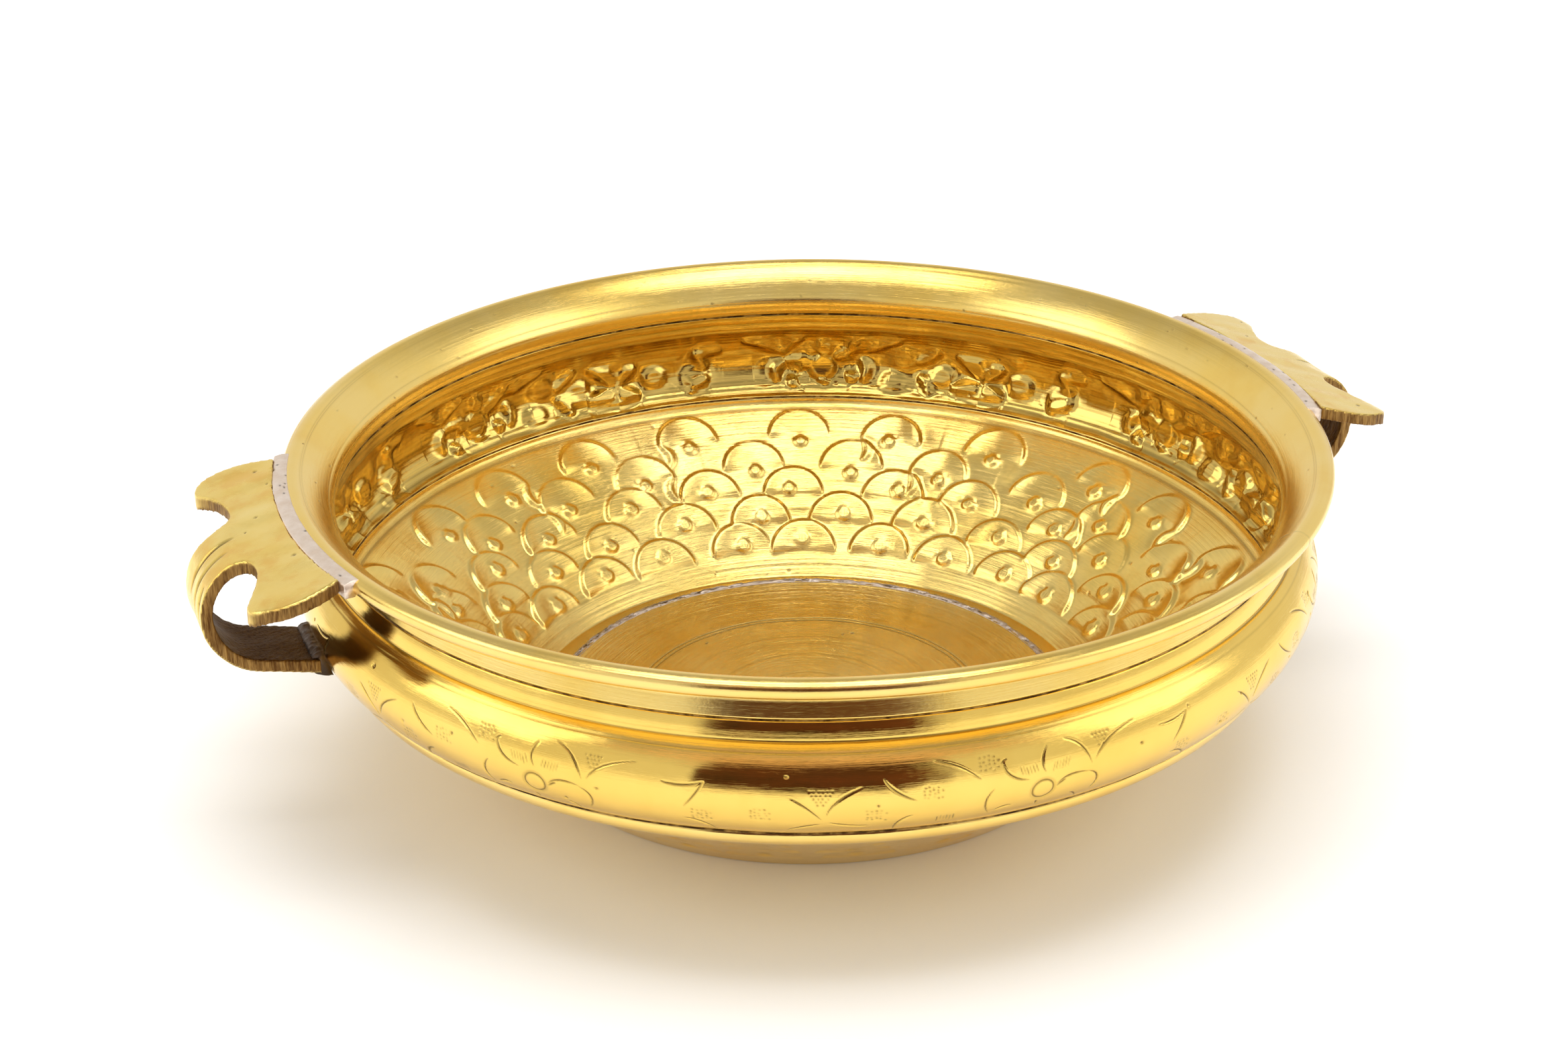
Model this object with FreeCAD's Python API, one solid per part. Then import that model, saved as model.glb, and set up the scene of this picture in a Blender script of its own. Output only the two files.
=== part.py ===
import FreeCAD, Part
import math
import os

# A brass urli: a wide shallow bowl of turned and hammered sheet, brazed together from a flared
# rim ring, a bellied wall band, a dished floor and a base disc, with two cut-plate handles
# soldered to the rim. Millimetres, +Z up, handles along X. The origin is the middle of the
# bowl's footprint, on the surface that it stands on.

# Driving dimensions
RIM_RADIUS = 150.0            # outer edge of the rolled rim
RIM_HEIGHT = 89.4             # widest part of the rim's outer face
OUTER_FACE_RADIUS = 149.5     # lower part of the outer face
OUTER_FACE_HEIGHT = 87.4
SHEET = 2.0                   # thickness of the rim, wall and floor
CROWN_RADIUS = 145.6          # where the roll runs into the sloping face of the rim
CROWN_HEIGHT = 91.2
CROWN_RISE = 0.3              # how far the top stands above its two ends
FACE_RADIUS = 141.3           # middle of the rim's crowned, sloping face
FACE_HEIGHT = 87.9
LIP_RADIUS = 137.3            # lower edge of the sloping face
LIP_HEIGHT = 83.0
THROAT_RADIUS = 135.85        # narrowest inside radius, a steep waist under the rim
THROAT_HEIGHT = 79.6
CORNER_TOP_RADIUS = 148.9     # the rim's rounded outer corner, from its top to its outer face
CORNER_TOP_HEIGHT = 90.9
CORNER_RADIUS = 149.7
CORNER_HEIGHT = 90.3
UNDER_RADIUS = 146.55         # where the outer face runs into the underside
UNDER_HEIGHT = 86.05
UNDERSIDE_RADIUS = 142.2      # middle of the rim's underside
UNDERSIDE_HEIGHT = 84.7
WAIST_TOP_RADIUS = 138.7      # where the underside turns down into the waist
WAIST_TOP_HEIGHT = 82.3
WAIST_RADIUS = 137.7          # narrowest outside radius
WAIST_HEIGHT = 80.8
NECK_TOP_RADIUS = 137.9       # where the waist runs into the widening neck
NECK_TOP_HEIGHT = 79.4
JOINT_RADIUS = 137.05         # inside radius where the rim ring meets the wall band
JOINT_HEIGHT = 75.4
NECK_RADIUS = 139.95          # middle of the neck below the joint
NECK_HEIGHT = 72.8
NECK_INNER_RADIUS = 137.95
NECK_INNER_HEIGHT = 72.4
CREASE_RADIUS = 140.4         # crease between the neck and the belly
CREASE_HEIGHT = 70.3
CREASE_INNER_RADIUS = 138.9
CREASE_INNER_HEIGHT = 68.8
BELLY_RADIUS = 147.75         # widest part of the belly
BELLY_HEIGHT = 57.3
HEEL_RADIUS = 140.5           # crease where the belly meets the floor's bead
HEEL_HEIGHT = 44.3
HEEL_TILT = 0.4               # how much higher the heel's inner edge is than its outer edge
CONE_TOP_RADIUS = 137.2       # lower edge of the bead, where the conical floor starts
CONE_TOP_HEIGHT = 38.9
CONE_BOW = 1.8                # how far the floor swells out from a true cone
FOOT_RADIUS = 84.6            # middle of the fold that the bowl stands on
FOOT_LAND = 2.4               # width of the flat worn on the fold
HOLE_RADIUS = 77.4            # hole in the floor, closed by the base disc
HOLE_RISE = 2.1               # how far the floor turns up from the fold to the hole
FOLD_SETBACK = 1.3            # from the flat on the fold to the start of the cone
FOLD_RISE = 0.5
FOLD_INSIDE_OFFSET = 0.5      # the fold's inside is this far outside its middle
FLOOR_EDGE_SETBACK = 1.1      # the floor's inner face stops short of the bead, out and up
FLOOR_EDGE_RISE = 1.2
BEAD_BULGE = 0.9              # how far the bead swells out under the belly
DISC_RADIUS = 76.2
DISC_FLAT_RADIUS = 54.0       # flat middle of the base disc
DISC_BOTTOM = 1.5             # underside of the flat middle
DISC_RISE = 1.5               # how far the disc's margin rises to its edge
DISC_THICKNESS = 1.8
DISC_BOW = 0.25               # how much of the margin's rise is done at its middle
SEAM = 0.5                    # width of the brazed seams
SOLDER_PROUD = 0.6            # how far the base solder stands above the sheets
SOLDER_LAP = 1.5              # how far it reaches each way from the middle of the gap
SOLDER_SINK = 0.6             # how far its edges run down below the disc's face

PLATE = 4.0                   # thickness of the handle plate
HANDLE_SPAN = 31.6            # degrees of the rim that each handle's root takes
ROOT_RADIUS = 152.2           # the root follows the rim at this radius
PLATE_TOP = 90.4              # top of the plate at the root
PLATE_DROOP = 12.4            # degrees that the plate slopes down, away from the rim
BEND_RADIUS = 17.0            # upper bend of the tongue, outer face
CURL_RADIUS = 19.0            # lower curl of the tongue, outer face
TONGUE_REACH = 179.0          # how far out the tongue reaches
TONGUE_HALF_WIDTH = 11.3
CURL_TURN = 78.0              # degrees from the tongue's widest reach to its straight end
TONGUE_END_RADIUS = 148.3     # the tongue's cut end, just clear of the belly
BLANK_INSET = 6.0             # the plate is drawn this far inside its root, then cut
BLANK_TAIL = 24.0             # and this far past its curl
BLANK_HALF_WIDTH = 60.0
STRIP_RADIUS = 148.7          # inner edge of the solder strip on the rim's edge
STRIP_OUTER_RADIUS = 152.5    # its outer edge, lying on the handle's root
STRIP_BOTTOM = 86.7
STRIP_OUTER_TOP = 90.58
STRIP_INNER_TOP = 91.55
FOOT_SOLDER_HALF_ANGLE = 4.9  # degrees of belly that the solder at the tongue's end covers
FOOT_SOLDER_SECTION = (       # radius and height of the fillet's corners
    (144.2, 46.4),
    (151.2, 48.4),
    (151.4, 53.2),
    (148.2, 55.6),
    (145.9, 55.6),
    (144.2, 46.4),
)


def at(r, z):
    """A point in the XZ half-plane: radius and height."""
    return FreeCAD.Vector(r, 0, z)


def line(a, b):
    return Part.LineSegment(a, b).toShape()


def arc(a, middle, b):
    return Part.Arc(a, middle, b).toShape()


def turned(edges, start=0.0, angle=360.0):
    """A closed section in the XZ half-plane, turned about Z from the start angle."""
    face = Part.Face(Part.Wire(edges))
    solid = face.revolve(FreeCAD.Vector(0, 0, 0), FreeCAD.Vector(0, 0, 1), angle)
    solid.rotate(FreeCAD.Vector(0, 0, 0), FreeCAD.Vector(0, 0, 1), start)
    return solid


def chain(points):
    """Straight edges through the points, in order."""
    return [line(a, b) for a, b in zip(points[:-1], points[1:])]


def bowed(a, b, bow):
    """The point halfway from a to b, moved sideways to the right by bow."""
    along = b - a
    side = FreeCAD.Vector(along.z, 0, -along.x).normalize()
    return (a + b) * 0.5 + side * bow


def inward(a, b, thickness):
    """Unit offset towards the inside of the bowl, for a run that goes down from a to b."""
    along = (b - a).normalize()
    return FreeCAD.Vector(along.z, 0, -along.x) * thickness


def rim_ring():
    """Thick edge with a rounded corner, sloping crowned face, underside and the waist below it."""
    seam_top = JOINT_HEIGHT + SEAM / 2
    joint_in = at(JOINT_RADIUS, seam_top)
    joint_out = at(JOINT_RADIUS + SHEET, seam_top)
    lip = at(LIP_RADIUS, LIP_HEIGHT)
    crown = at(CROWN_RADIUS, CROWN_HEIGHT)
    top = at((CROWN_RADIUS + CORNER_TOP_RADIUS) / 2, CROWN_HEIGHT + CROWN_RISE)
    corner_top = at(CORNER_TOP_RADIUS, CORNER_TOP_HEIGHT)
    outermost = at(RIM_RADIUS, RIM_HEIGHT)
    under = at(UNDER_RADIUS, UNDER_HEIGHT)
    under_lip = at(WAIST_TOP_RADIUS, WAIST_TOP_HEIGHT)
    neck_top = at(NECK_TOP_RADIUS, NECK_TOP_HEIGHT)
    return turned([
        arc(joint_in, at(THROAT_RADIUS, THROAT_HEIGHT), lip),
        arc(lip, at(FACE_RADIUS, FACE_HEIGHT), crown),
        arc(crown, top, corner_top),
        arc(corner_top, at(CORNER_RADIUS, CORNER_HEIGHT), outermost),
        arc(outermost, at(OUTER_FACE_RADIUS, OUTER_FACE_HEIGHT), under),
        arc(under, at(UNDERSIDE_RADIUS, UNDERSIDE_HEIGHT), under_lip),
        arc(under_lip, at(WAIST_RADIUS, WAIST_HEIGHT), neck_top),
        line(neck_top, joint_out),
        line(joint_out, joint_in),
    ])


def neck_and_belly():
    """Outer and inner points of the wall band, from the joint down to the heel."""
    top = JOINT_HEIGHT - SEAM / 2
    outer = {
        "top": at(JOINT_RADIUS + SHEET, top),
        "neck": at(NECK_RADIUS, NECK_HEIGHT),
        "crease": at(CREASE_RADIUS, CREASE_HEIGHT),
        "belly": at(BELLY_RADIUS, BELLY_HEIGHT),
        "heel": at(HEEL_RADIUS, HEEL_HEIGHT),
    }
    inner = {
        "top": at(JOINT_RADIUS, top),
        "neck": at(NECK_INNER_RADIUS, NECK_INNER_HEIGHT),
        "crease": at(CREASE_INNER_RADIUS, CREASE_INNER_HEIGHT),
        "belly": at(BELLY_RADIUS - SHEET, BELLY_HEIGHT),
        "heel": at(HEEL_RADIUS - SHEET, HEEL_HEIGHT + HEEL_TILT),
    }
    return outer, inner


def wall_band():
    """Lower half of the neck, crease, and the convex belly that carries the engraved flowers."""
    outer, inner = neck_and_belly()
    return turned([
        arc(outer["top"], outer["neck"], outer["crease"]),
        arc(outer["crease"], outer["belly"], outer["heel"]),
        line(outer["heel"], inner["heel"]),
        arc(inner["heel"], inner["belly"], inner["crease"]),
        arc(inner["crease"], inner["neck"], inner["top"]),
        line(inner["top"], outer["top"]),
    ])


def floor_dish():
    """Bead under the belly, bowed cone, standing fold, and the turned-up edge of the hole."""
    drop = FreeCAD.Vector(0, 0, -SEAM)
    outer, inner = neck_and_belly()
    heel_out = outer["heel"] + drop
    heel_in = inner["heel"] + drop
    cone_top = at(CONE_TOP_RADIUS, CONE_TOP_HEIGHT)
    land_out = at(FOOT_RADIUS + FOOT_LAND / 2, 0)
    land_in = at(FOOT_RADIUS - FOOT_LAND / 2, 0)
    cone_foot = land_out + at(FOLD_SETBACK, FOLD_RISE)
    offset = inward(cone_top, cone_foot, SHEET)
    floor_edge = cone_top + offset + at(FLOOR_EDGE_SETBACK, FLOOR_EDGE_RISE)
    fold_in = at(FOOT_RADIUS + FOLD_INSIDE_OFFSET, SHEET)
    hole_under = at(HOLE_RADIUS, HOLE_RISE)
    hole_top = at(HOLE_RADIUS, HOLE_RISE + SHEET)
    bead = (heel_out + cone_top) / 2 + at(BEAD_BULGE, 0)
    return turned([
        arc(heel_out, bead, cone_top),
        arc(cone_top, bowed(cone_top, cone_foot, -CONE_BOW), cone_foot),
        line(cone_foot, land_out),
        line(land_out, land_in),
        line(land_in, hole_under),
        line(hole_under, hole_top),
        line(hole_top, fold_in),
        arc(fold_in, bowed(fold_in, floor_edge, CONE_BOW), floor_edge),
        line(floor_edge, heel_in),
        line(heel_in, heel_out),
    ])


def base_disc():
    """Flat turned middle with a margin that rises in a shallow curve to its edge."""
    rise_middle = at((DISC_FLAT_RADIUS + DISC_RADIUS) / 2, DISC_BOTTOM + DISC_BOW * DISC_RISE)
    up = FreeCAD.Vector(0, 0, DISC_THICKNESS)
    centre = at(0, DISC_BOTTOM)
    flat_edge = at(DISC_FLAT_RADIUS, DISC_BOTTOM)
    rim = at(DISC_RADIUS, DISC_BOTTOM + DISC_RISE)
    return turned([
        line(centre, flat_edge),
        arc(flat_edge, rise_middle, rim),
        line(rim, rim + up),
        arc(rim + up, rise_middle + up, flat_edge + up),
        line(flat_edge + up, centre + up),
        line(centre + up, centre),
    ])


def rim_braze_seam():
    """Filler in the joint between the rim ring and the wall band."""
    low = JOINT_HEIGHT - SEAM / 2
    inside = at(JOINT_RADIUS, low)
    outside = at(JOINT_RADIUS + SHEET, low)
    up = FreeCAD.Vector(0, 0, SEAM)
    return turned(chain([inside, outside, outside + up, inside + up, inside]))


def heel_braze_seam():
    """Filler in the joint between the wall band and the floor dish."""
    outer, inner = neck_and_belly()
    drop = FreeCAD.Vector(0, 0, -SEAM)
    out = outer["heel"]
    inside = inner["heel"]
    return turned(chain([out, inside, inside + drop, out + drop, out]))


def base_solder_ring(floor, disc):
    """Grey solder run round the base disc, filling the gap and lying over both edges."""
    low = DISC_BOTTOM + DISC_RISE
    top = low + DISC_THICKNESS + SOLDER_PROUD
    middle = (DISC_RADIUS + HOLE_RADIUS) / 2
    reach = SOLDER_LAP
    sheet_top = low + DISC_THICKNESS - SOLDER_SINK
    ring = turned([
        line(at(DISC_RADIUS, low), at(HOLE_RADIUS, low)),
        line(at(HOLE_RADIUS, low), at(HOLE_RADIUS, sheet_top)),
        line(at(HOLE_RADIUS, sheet_top), at(middle + reach, sheet_top)),
        arc(at(middle + reach, sheet_top), at(middle, top), at(middle - reach, sheet_top)),
        line(at(middle - reach, sheet_top), at(DISC_RADIUS, sheet_top)),
        line(at(DISC_RADIUS, sheet_top), at(DISC_RADIUS, low)),
    ])
    return ring.cut(floor).cut(disc)


def bent_plate():
    """The handle's plate seen from the side: sloping flat, bend, curl and straight end."""
    slope = math.radians(PLATE_DROOP)
    turn = math.radians(CURL_TURN)
    inner_start = at(ROOT_RADIUS - BLANK_INSET, PLATE_TOP + BLANK_INSET * math.tan(slope))
    down = at(-math.sin(slope), -math.cos(slope)) * PLATE
    bend_start_x = TONGUE_REACH - BEND_RADIUS * (1 - math.sin(slope))
    bend_start = at(bend_start_x, PLATE_TOP - (bend_start_x - ROOT_RADIUS) * math.tan(slope))
    reach_height = bend_start.z - BEND_RADIUS * math.cos(slope)
    bend_centre = at(TONGUE_REACH - BEND_RADIUS, reach_height)
    curl_centre = at(TONGUE_REACH - CURL_RADIUS, reach_height)
    end_heading = at(-math.sin(turn), -math.cos(turn))
    half_bend = (math.pi / 2 - slope) / 2

    def on(centre, radius, angle):
        return centre + at(math.cos(angle), math.sin(angle)) * radius

    def face(thickness):
        """Edges of one face of the plate, from the root to the tongue's end."""
        bend = BEND_RADIUS - thickness
        curl = CURL_RADIUS - thickness
        root = inner_start + down * (thickness / PLATE)
        start = bend_start + down * (thickness / PLATE)
        reach = at(TONGUE_REACH - thickness, reach_height)
        curl_end = on(curl_centre, curl, -turn)
        end = curl_end + end_heading * BLANK_TAIL
        edges = [
            line(root, start),
            arc(start, on(bend_centre, bend, half_bend), reach),
            arc(reach, on(curl_centre, curl, -turn / 2), curl_end),
            line(curl_end, end),
        ]
        return edges, root, end

    outer, outer_root, outer_end = face(0.0)
    inner, inner_root, inner_end = face(PLATE)
    end = line(outer_end, inner_end)
    root = line(inner_root, outer_root)
    wire = Part.Wire(outer + [end] + inner[::-1] + [root])
    side = Part.Face(wire)
    side.translate(FreeCAD.Vector(0, -BLANK_HALF_WIDTH, 0))
    return side.extrude(FreeCAD.Vector(0, 2 * BLANK_HALF_WIDTH, 0)), reach_height


def handle_outline():
    """Plan of the cut plate: root arc, two ears, two keyhole notches and the tongue."""
    half = math.radians(HANDLE_SPAN / 2)
    root_x = ROOT_RADIUS * math.cos(half)
    root_y = ROOT_RADIUS * math.sin(half)
    upper = [
        (root_x, root_y),
        (153.5, 44.6),
        (159.0, 45.6),
        (165.0, 44.4),
        (169.2, 41.2),
        (170.2, 37.4),
        (168.6, 33.4),
        (166.2, 28.4),
        (164.5, 22.6),
        (164.2, 17.4),
        (165.6, 13.6),
        (168.6, 11.8),
        (172.5, TONGUE_HALF_WIDTH),
    ]
    curve = Part.BSplineCurve()
    curve.interpolate([FreeCAD.Vector(x, y, 0) for x, y in upper])
    lower_curve = Part.BSplineCurve()
    lower_curve.interpolate([FreeCAD.Vector(x, -y, 0) for x, y in upper])
    far = TONGUE_REACH + PLATE
    tip = FreeCAD.Vector(*upper[-1], 0)
    tip_low = FreeCAD.Vector(upper[-1][0], -upper[-1][1], 0)
    corner = FreeCAD.Vector(far, TONGUE_HALF_WIDTH, 0)
    corner_low = FreeCAD.Vector(far, -TONGUE_HALF_WIDTH, 0)
    root = arc(
        FreeCAD.Vector(root_x, -root_y, 0),
        FreeCAD.Vector(ROOT_RADIUS, 0, 0),
        FreeCAD.Vector(root_x, root_y, 0),
    )
    edges = [
        root,
        curve.toShape(),
        line(tip, corner),
        line(corner, corner_low),
        line(corner_low, tip_low),
        lower_curve.toShape(),
    ]
    return Part.Face(Part.Wire(Part.__sortEdges__(edges)))


def handle():
    """One handle on the +X side, cut from plate, with its tongue curled back to the belly."""
    plate, reach_height = bent_plate()
    outline = handle_outline()
    outline.translate(FreeCAD.Vector(0, 0, reach_height))
    upper_half = outline.extrude(FreeCAD.Vector(0, 0, PLATE_TOP))
    corner = FreeCAD.Vector(0, -TONGUE_HALF_WIDTH, 0)
    lower_half = Part.makeBox(TONGUE_REACH, 2 * TONGUE_HALF_WIDTH, reach_height, corner)
    top = plate.common(upper_half)
    curl = plate.common(lower_half)
    whole = top.fuse(curl).removeSplitter()
    return whole.cut(Part.makeCylinder(TONGUE_END_RADIUS, reach_height))


def rim_solder(rim, grip):
    """Strip of grey solder between the rim's edge and the root of a handle on the +X side."""
    section = [
        at(STRIP_RADIUS, STRIP_BOTTOM),
        at(STRIP_OUTER_RADIUS, STRIP_BOTTOM),
        at(STRIP_OUTER_RADIUS, STRIP_OUTER_TOP),
        at(STRIP_RADIUS, STRIP_INNER_TOP),
        at(STRIP_RADIUS, STRIP_BOTTOM),
    ]
    strip = turned(chain(section), -HANDLE_SPAN / 2, HANDLE_SPAN)
    return strip.cut(rim).cut(grip)


def foot_solder(wall, grip):
    """Fillet of grey solder where the tongue's end meets the belly on the +X side."""
    section = [at(r, z) for r, z in FOOT_SOLDER_SECTION]
    fillet = turned(chain(section), -FOOT_SOLDER_HALF_ANGLE, 2 * FOOT_SOLDER_HALF_ANGLE)
    return fillet.cut(wall).cut(grip)


def mirrored(solid):
    """The same piece on the -X side, half a turn round the bowl."""
    copy = solid.copy()
    copy.rotate(FreeCAD.Vector(0, 0, 0), FreeCAD.Vector(0, 0, 1), 180)
    return copy


def build():
    rim = rim_ring()
    wall = wall_band()
    floor = floor_dish()
    disc = base_disc()
    grip = handle()
    strip = rim_solder(rim, grip)
    fillet = foot_solder(wall, grip)
    return {
        "rim_ring": rim,
        "wall_band": wall,
        "floor_dish": floor,
        "base_disc": disc,
        "rim_braze_seam": rim_braze_seam(),
        "heel_braze_seam": heel_braze_seam(),
        "base_solder_ring": base_solder_ring(floor, disc),
        "handle_right": grip,
        "handle_left": mirrored(grip),
        "handle_right_rim_solder": strip,
        "handle_left_rim_solder": mirrored(strip),
        "handle_right_foot_solder": fillet,
        "handle_left_foot_solder": mirrored(fillet),
    }


os.makedirs("parts", exist_ok=True)
for name, shape in build().items():
    body = max(shape.Solids, key=lambda solid: solid.Volume)
    print(name, "valid" if body.isValid() else "broken", round(body.Volume, 1))
    body.exportStep("parts/" + name + ".step")
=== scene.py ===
import math

import bpy
import numpy as np
from mathutils import Matrix, Vector


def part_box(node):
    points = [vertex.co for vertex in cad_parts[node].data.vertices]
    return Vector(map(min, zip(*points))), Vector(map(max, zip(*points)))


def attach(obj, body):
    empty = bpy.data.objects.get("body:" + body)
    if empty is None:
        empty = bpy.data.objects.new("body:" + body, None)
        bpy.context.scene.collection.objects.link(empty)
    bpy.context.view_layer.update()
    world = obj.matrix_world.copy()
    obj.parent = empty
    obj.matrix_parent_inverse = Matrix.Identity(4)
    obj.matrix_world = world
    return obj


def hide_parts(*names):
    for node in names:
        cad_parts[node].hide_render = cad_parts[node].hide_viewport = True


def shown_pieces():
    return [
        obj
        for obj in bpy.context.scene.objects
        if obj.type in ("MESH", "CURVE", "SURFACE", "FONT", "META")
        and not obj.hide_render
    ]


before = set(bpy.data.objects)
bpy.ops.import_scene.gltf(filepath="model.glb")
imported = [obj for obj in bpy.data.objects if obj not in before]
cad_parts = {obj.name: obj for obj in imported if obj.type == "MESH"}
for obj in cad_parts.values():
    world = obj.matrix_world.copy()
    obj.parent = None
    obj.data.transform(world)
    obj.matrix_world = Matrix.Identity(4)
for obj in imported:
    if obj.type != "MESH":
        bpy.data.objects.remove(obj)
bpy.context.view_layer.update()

MM = 0.001
TURN = 2 * math.pi
OUTSIDE, INSIDE, EDGE = 0, 1, 2
PIT_STEEP = 4
PIT_REACH = 2.0
rng = np.random.default_rng(7)


# Places in the frame, in millimetres

def box_mm(node):
    """Lowest and highest corner of a CAD node, in millimetres."""
    low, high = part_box(node)
    return Vector(low) / MM, Vector(high) / MM


RIM_LOW, RIM_HIGH = box_mm("rim_ring")
WALL_LOW, WALL_HIGH = box_mm("wall_band")
_, FLOOR_HIGH = box_mm("floor_dish")
DISC_LOW, DISC_HIGH = box_mm("base_disc")
RIM = RIM_HIGH.x
BELLY = WALL_HIGH.x
HEEL = FLOOR_HIGH.x
SHEET = 2.0


# Sections of sheet metal

def straight(start, end, count):
    """Points evenly along a line, both ends included."""
    return np.linspace(start, end, count + 1)


def bowed(start, end, sag, count):
    """Points along a line that is pushed sideways by sag at its middle, to the left of its way."""
    share = np.linspace(0, 1, count + 1)[:, None]
    way = np.subtract(end, start)
    left = np.array([-way[1], way[0]]) / np.hypot(*way)
    return np.array(start) + share * way + 4 * sag * share * (1 - share) * left


def arc(start, via, end, count):
    """Points along the round arc through three points, both ends included."""
    a, b, c = (complex(*p) for p in (start, via, end))
    w = (c - a) / (b - a)
    centre = (b - a) * (w - abs(w) ** 2) / (2j * w.imag) + a
    radius = abs(a - centre)
    first = np.angle(a - centre)
    middle = np.angle((b - centre) / (a - centre))
    last = np.angle((c - centre) / (a - centre))
    if middle > 0 > last:
        last += TURN
    if middle < 0 < last:
        last -= TURN
    turn = first + np.linspace(0, last, count + 1)
    return np.stack([centre.real + radius * np.cos(turn), centre.imag + radius * np.sin(turn)], 1)


class Section:
    """A closed outline of (radius, height) points. Each point has a place along the sheet and a side."""

    def __init__(self):
        self.points, self.along, self.side = [], [], []

    def run(self, points, side, along_start, along_end):
        """Adds points up to the last, whose places along the sheet are evenly spaced."""
        self.points.extend(points[:-1])
        self.along.extend(np.linspace(along_start, along_end, len(points))[:-1])
        self.side.extend([side] * (len(points) - 1))

    def done(self):
        self.points = np.array(self.points, float)
        self.along = np.array(self.along)
        self.side = np.array(self.side)
        ahead = np.roll(self.points, -1, 0) - np.roll(self.points, 1, 0)
        ahead /= np.maximum(np.hypot(ahead[:, 0], ahead[:, 1]), 1e-9)[:, None]
        following = np.roll(self.points, -1, 0)
        area = np.sum(self.points[:, 0] * following[:, 1] - following[:, 0] * self.points[:, 1])
        self.normals = np.stack([ahead[:, 1], -ahead[:, 0]], 1) * math.copysign(1, area)
        return self


# Relief: what the punches, chisels and the lathe leave in the sheet

def smooth(x):
    """0 below 0, 1 above 1, and an easy curve between."""
    x = np.clip(x, 0, 1)
    return x * x * (3 - 2 * x)


class Relief:
    """Heights and marks, in millimetres, over a section's points and the columns round the bowl."""

    def __init__(self, section, columns):
        self.section, self.columns = section, columns
        self.angles = np.arange(columns) * TURN / columns
        self.height = np.zeros((len(section.points), columns))
        self.grime_and_shade = np.zeros_like(self.height)

    def stamp(self, side, angle, along, reach, shape):
        """Adds shape(u, v), a height and a darkening, round a place. u runs round the bowl, v along the
        sheet.
        """
        near = np.abs(self.section.along - along) < reach
        rows = np.flatnonzero(near & (self.section.side == side))
        if not len(rows):
            return
        radius = self.section.points[rows, 0][:, None]
        step = TURN / self.columns
        half = int(reach / (radius.min() * step)) + 1
        centre = round(angle / step)
        columns = np.arange(centre - half, centre + half + 1)
        u = (columns * step - angle)[None, :] * radius
        v = (self.section.along[rows] - along)[:, None] + 0 * u
        height, grime_and_shade = shape(u, v)
        place = np.ix_(rows, columns % self.columns)
        self.height[place] += height
        self.grime_and_shade[place] = np.maximum(self.grime_and_shade[place], grime_and_shade)

    def waves(self, side, size, least, most, pitch):
        """Adds the slow unevenness of hand-worked sheet: least to most waves round, pitch mm along."""
        rows = self.section.side == side
        along = self.section.along[rows][:, None]
        total = 0
        for _ in range(14):
            turns = rng.integers(least, most)
            slope = rng.uniform(-1, 1) * TURN / pitch
            total = total + np.cos(turns * self.angles[None, :] + slope * along + rng.uniform(0, TURN))
        self.height[rows] += size * total / 14 ** 0.5

    def turned(self, side, size, pitch):
        """Adds rings left by the turning tool, which are the same all the way round."""
        rows = self.section.side == side
        along = self.section.along[rows]
        total = np.zeros(len(along))
        for _ in range(6):
            total += np.cos(TURN * along / (pitch * rng.uniform(0.6, 1.8)) + rng.uniform(0, TURN))
        self.height[rows] += (size * total / 6 ** 0.5)[:, None]

    def groove(self, side, along, width, depth, grime_and_shade, share=1.0):
        """Turns a groove right round, whose depth at each column is multiplied by share."""
        cut = np.exp(-((self.section.along - along) / width) ** 2) * (self.section.side == side)
        cut = cut[:, None] * share
        self.height -= depth * cut
        # Darkens the groove: partly grime in it, partly painted shade.
        self.grime_and_shade = np.maximum(self.grime_and_shade, grime_and_shade * cut)

    def pits(self, side, count, wide, tall, depth, grime_and_shade, along):
        """Scatters small pits. wide, tall, dirt and along are each given as the least and the most."""
        for _ in range(count):
            pit = dome(rng.uniform(*wide), rng.uniform(*tall), -depth, PIT_STEEP, rng.uniform(*grime_and_shade))
            self.stamp(side, rng.uniform(0, TURN), rng.uniform(*along), PIT_REACH, pit)

    def flatten(self, side, cap, softness):
        """Rubs down what stands above cap, as polishing on the lathe does."""
        rows = self.section.side == side
        over = (self.height[rows] - cap) / softness
        self.height[rows] -= softness * np.logaddexp(0, over)


def bend_points(start, end, bow):
    """Seven points along a curve from start to end that bows to its left by bow."""
    return bowed(start, end, bow, 6)


def stroke(path, width, height, lip, grime_and_shade):
    """A chisel stroke along a path: deepest at its middle and pointed at its ends. Its middle line is
    darkened, partly by grime and partly by painted shade.
    """
    path = np.array(path, float)

    def shape(u, v):
        nearest = np.full(u.shape, 1e6)
        share = np.zeros(u.shape)
        pieces = len(path) - 1
        for i in range(pieces):
            a, way = path[i], path[i + 1] - path[i]
            t = np.clip(((u - a[0]) * way[0] + (v - a[1]) * way[1]) / (way @ way), 0, 1)
            gap = np.hypot(u - a[0] - t * way[0], v - a[1] - t * way[1])
            share = np.where(gap < nearest, (i + t) / pieces, share)
            nearest = np.minimum(gap, nearest)
        taper = np.sqrt(np.clip(1 - (2 * share - 1) ** 2, 0.0, 1)) * 0.9 + 0.1
        local = width * (0.35 + 0.65 * taper)
        cut = np.exp(-(nearest / local) ** 2)
        ridge = np.exp(-((nearest - 2.2 * local) / (1.4 * local)) ** 2)
        # The darkening along the middle line is partly grime and partly painted shade.
        return height * taper * (cut - lip * ridge), grime_and_shade * taper * np.exp(-(nearest / (0.8 * local)) ** 2)

    return shape


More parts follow.
